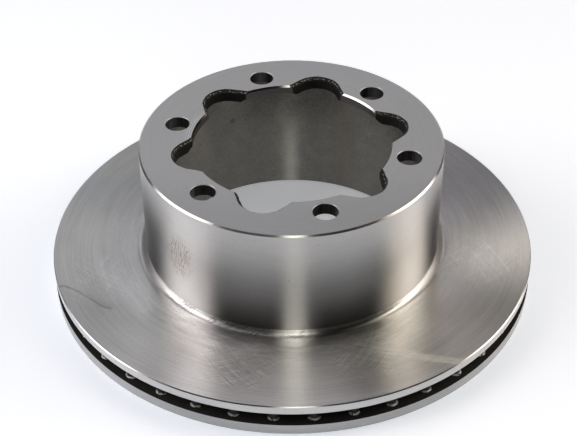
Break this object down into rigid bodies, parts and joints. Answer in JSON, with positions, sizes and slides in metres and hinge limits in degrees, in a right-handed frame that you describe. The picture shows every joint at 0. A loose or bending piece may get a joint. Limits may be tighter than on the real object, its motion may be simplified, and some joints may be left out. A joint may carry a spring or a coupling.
{
  "type": "ventilated brake disc",
  "caption": "Ventilated brake disc cast in one piece, with two friction cheeks held apart by round pins and a deep bolted hat that is a parking brake drum inside.",
  "frame": {"origin": "on the hub axis, in the plane of the inboard friction face that the disc lies on", "axes": "+Z along the hub axis towards the mounting face on top of the hat"},
  "size_m": [0.304, 0.304, 0.0955],
  "materials": {
    "turned_iron": "turned and ground bright, as cast in the vents and the lobes"
  },
  "bodies": {
    "root": {"brake_disc": "turned_iron"}
  },
  "joints": []
}
